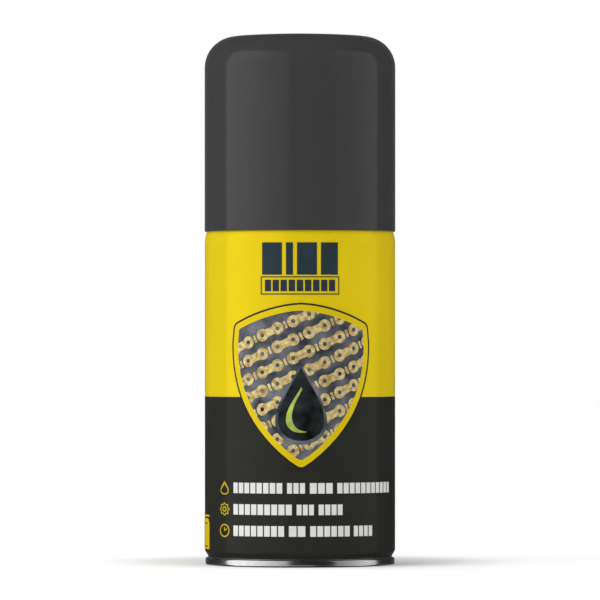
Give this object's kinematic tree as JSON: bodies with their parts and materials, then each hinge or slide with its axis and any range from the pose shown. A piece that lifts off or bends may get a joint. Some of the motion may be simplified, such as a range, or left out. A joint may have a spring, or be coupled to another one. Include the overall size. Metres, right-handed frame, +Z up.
{
  "type": "chain lubricant spray can",
  "caption": "Small tinplate aerosol can of chain lubricant with a full-width overcap, press-to-spray button and valve, printed in yellow and charcoal.",
  "frame": {"origin": "centre of the circle on which the base seam stands", "axes": "+Z up along the can, -Y towards the printed front, +X to the right seen from the front"},
  "size_m": [0.0521, 0.0521, 0.1447],
  "materials": {
    "tinplate": "polished",
    "yellow_lacquer": "gloss",
    "charcoal_lacquer": "gloss",
    "slate_ink": "gloss",
    "white_ink": "gloss",
    "gold_ink": "gloss",
    "grey_ink": "gloss",
    "lime_ink": "gloss",
    "cap_plastic": "satin",
    "natural_plastic": "satin",
    "insert_plastic": "satin",
    "tube_plastic": "satin",
    "gasket_rubber": "matte",
    "spring_wire": "polished"
  },
  "bodies": {
    "can": {"can_body": "tinplate", "can_dome": "tinplate", "can_base": "tinplate", "valve_cup": "tinplate", "cup_gasket": "gasket_rubber", "valve_housing": "natural_plastic", "stem_gasket": "gasket_rubber", "valve_spring": "spring_wire", "dip_tube": "tube_plastic", "yellow_field": "yellow_lacquer", "charcoal_field": "charcoal_lacquer", "title_blocks": "slate_ink", "feature_bars": "white_ink", "feature_icons": "yellow_lacquer", "side_panel": "yellow_lacquer", "badge_outline": "charcoal_lacquer", "badge_band": "yellow_lacquer", "badge_ground": "grey_ink", "badge_chain": "gold_ink", "badge_drop": "charcoal_lacquer", "badge_gleam": "lime_ink"},
    "stem": {"valve_stem": "natural_plastic"},
    "button": {"spray_button": "natural_plastic", "spray_insert": "insert_plastic"},
    "cap": {"overcap": "cap_plastic"}
  },
  "joints": [
    {"name": "cap_pull", "type": "slide", "parent": "can", "child": "cap", "axis": [0, 0, 1], "range_m": [0, 0.06]},
    {"name": "stem_press", "type": "slide", "parent": "can", "child": "stem", "axis": [0, 0, -1], "range_m": [0, 0.0015], "stiffness_N_per_m": 8500, "springref_m": -0.0014, "deforming": ["valve_spring"]},
    {"name": "button_turn", "type": "hinge", "parent": "stem", "child": "button", "pos_m": [0, 0, 0.124], "axis": [0, 0, 1], "continuous": true}
  ]
}
